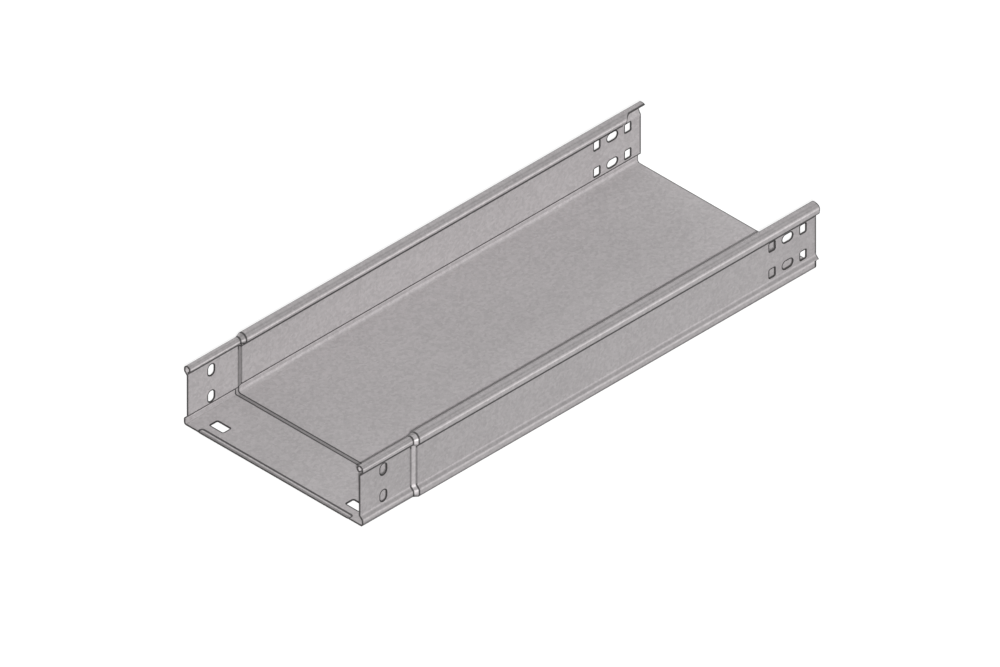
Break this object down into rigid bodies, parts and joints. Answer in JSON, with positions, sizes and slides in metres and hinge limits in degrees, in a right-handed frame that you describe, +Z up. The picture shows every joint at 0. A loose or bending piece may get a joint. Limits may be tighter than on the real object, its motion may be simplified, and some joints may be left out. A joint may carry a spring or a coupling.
{
  "type": "cable tray",
  "caption": "Straight closed-bottom cable tray folded from galvanised sheet steel, with rolled edges, a drawn-in coupling end and slotted walls.",
  "frame": {"origin": "centre of the bounding box, at the underside of the tray", "axes": "+X along the tray from the drawn-in coupling end to the wide socket end, Y across it with the left wall at +Y, +Z up"},
  "size_m": [0.5012, 0.2, 0.06],
  "materials": {
    "galvanised_steel": "galvanised, matt"
  },
  "bodies": {
    "root": {"tray": "galvanised_steel"}
  },
  "joints": []
}
